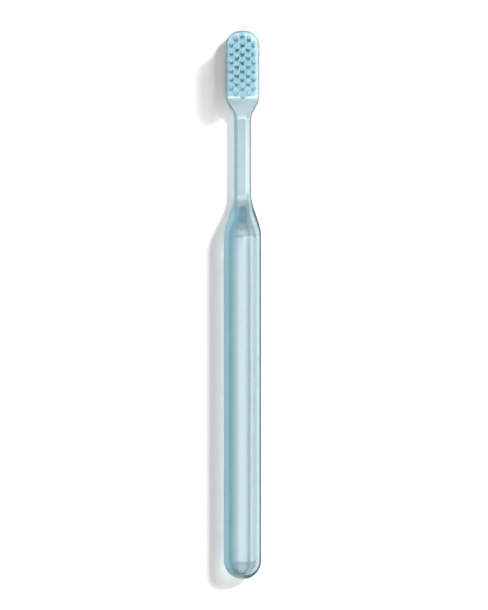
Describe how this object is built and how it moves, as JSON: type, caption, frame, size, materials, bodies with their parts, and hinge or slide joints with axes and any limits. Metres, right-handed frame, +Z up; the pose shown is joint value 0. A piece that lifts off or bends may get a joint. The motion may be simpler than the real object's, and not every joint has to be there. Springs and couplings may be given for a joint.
{
  "type": "manual toothbrush",
  "caption": "Slim manual toothbrush: round clear blue grip, drawn-in shoulder, thin neck and small rounded head with staggered bristle tufts, lying on its back.",
  "frame": {"origin": "on the resting surface, under the middle of the brush's length", "axes": "+Y along the brush from the round tail to the tip of the head, +Z up out of the bristles, +X to the right seen from above"},
  "size_m": [0.013, 0.19, 0.0178],
  "materials": {
    "clear_blue_plastic": "clear light blue tint, smooth with a faint frost",
    "bristle_nylon": "satin blue nylon filament",
    "anchor_metal": "cut nickel silver strip"
  },
  "bodies": {
    "root": {"handle": "clear_blue_plastic", "tuft_row_1_middle": "bristle_nylon", "tuft_row_2_left": "bristle_nylon", "tuft_row_2_right": "bristle_nylon", "tuft_row_3_left": "bristle_nylon", "tuft_row_3_middle": "bristle_nylon", "tuft_row_3_right": "bristle_nylon", "tuft_row_4_left": "bristle_nylon", "tuft_row_4_right": "bristle_nylon", "tuft_row_5_left": "bristle_nylon", "tuft_row_5_middle": "bristle_nylon", "tuft_row_5_right": "bristle_nylon", "tuft_row_6_left": "bristle_nylon", "tuft_row_6_right": "bristle_nylon", "tuft_row_7_left": "bristle_nylon", "tuft_row_7_middle": "bristle_nylon", "tuft_row_7_right": "bristle_nylon", "tuft_row_8_left": "bristle_nylon", "tuft_row_8_right": "bristle_nylon", "tuft_row_9_left": "bristle_nylon", "tuft_row_9_middle": "bristle_nylon", "tuft_row_9_right": "bristle_nylon", "tuft_row_10_left": "bristle_nylon", "tuft_row_10_right": "bristle_nylon", "tuft_row_11_left": "bristle_nylon", "tuft_row_11_middle": "bristle_nylon", "tuft_row_11_right": "bristle_nylon", "tuft_row_12_left": "bristle_nylon", "tuft_row_12_right": "bristle_nylon", "tuft_row_13_left": "bristle_nylon", "tuft_row_13_middle": "bristle_nylon", "tuft_row_13_right": "bristle_nylon", "tuft_row_14_left": "bristle_nylon", "tuft_row_14_right": "bristle_nylon", "tuft_row_15_middle": "bristle_nylon", "tuft_anchors": "anchor_metal"}
  },
  "joints": []
}
